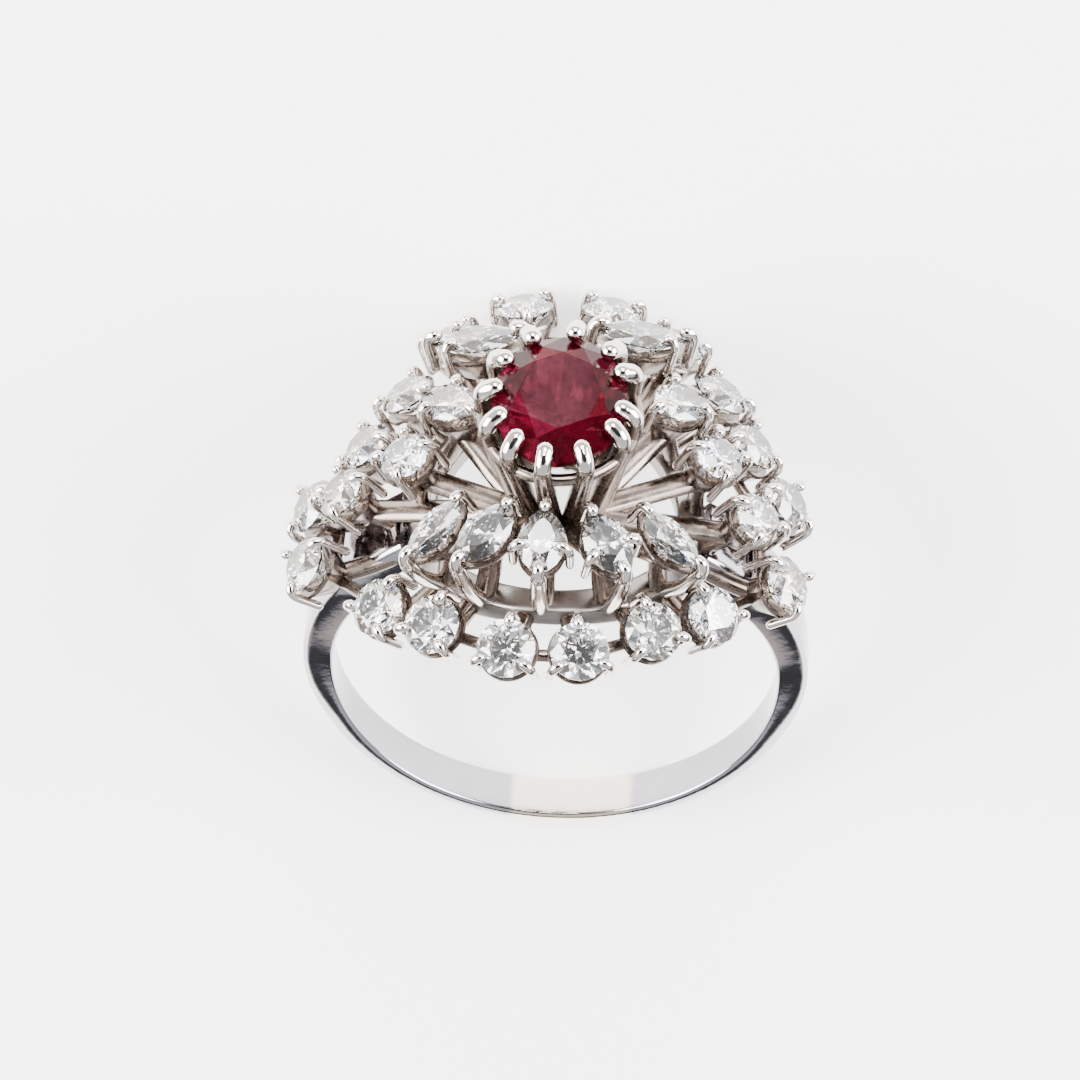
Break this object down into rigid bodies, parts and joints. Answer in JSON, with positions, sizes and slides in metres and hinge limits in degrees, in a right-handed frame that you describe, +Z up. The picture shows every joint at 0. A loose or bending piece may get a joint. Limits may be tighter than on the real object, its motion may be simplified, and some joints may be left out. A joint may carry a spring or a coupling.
{
  "type": "cluster ring",
  "caption": "White gold dress ring: an oval ruby on tall wire prongs, ringed by tiers of round, pear and marquise clear stones on an openwork dome, with a plain tapered shank.",
  "frame": {"origin": "middle of the finger hole", "axes": "+Z up from the surface that the ring lies on, +Y from the bottom of the shank towards the head, X across the finger"},
  "size_m": [0.0207, 0.0243, 0.0176],
  "materials": {
    "white_gold": "polished white gold",
    "ruby": "faceted, deep crimson with silky inclusions",
    "clear_stone": "faceted, colourless with bright fire"
  },
  "bodies": {
    "root": {"ring_mount": "white_gold", "ruby": "ruby", "outer_stone_1": "clear_stone", "outer_stone_2": "clear_stone", "outer_stone_3": "clear_stone", "outer_stone_4": "clear_stone", "outer_stone_5": "clear_stone", "outer_stone_6": "clear_stone", "outer_stone_7": "clear_stone", "outer_stone_8": "clear_stone", "outer_stone_9": "clear_stone", "outer_stone_10": "clear_stone", "outer_stone_11": "clear_stone", "outer_stone_12": "clear_stone", "outer_stone_13": "clear_stone", "outer_stone_14": "clear_stone", "outer_stone_15": "clear_stone", "outer_stone_16": "clear_stone", "outer_stone_17": "clear_stone", "outer_stone_18": "clear_stone", "inner_stone_1": "clear_stone", "inner_stone_2": "clear_stone", "inner_stone_3": "clear_stone", "inner_stone_4": "clear_stone", "inner_stone_5": "clear_stone", "inner_stone_6": "clear_stone", "inner_stone_7": "clear_stone", "inner_stone_8": "clear_stone", "inner_stone_9": "clear_stone", "inner_stone_10": "clear_stone", "inner_stone_11": "clear_stone", "inner_stone_12": "clear_stone", "inner_stone_13": "clear_stone"}
  },
  "joints": []
}
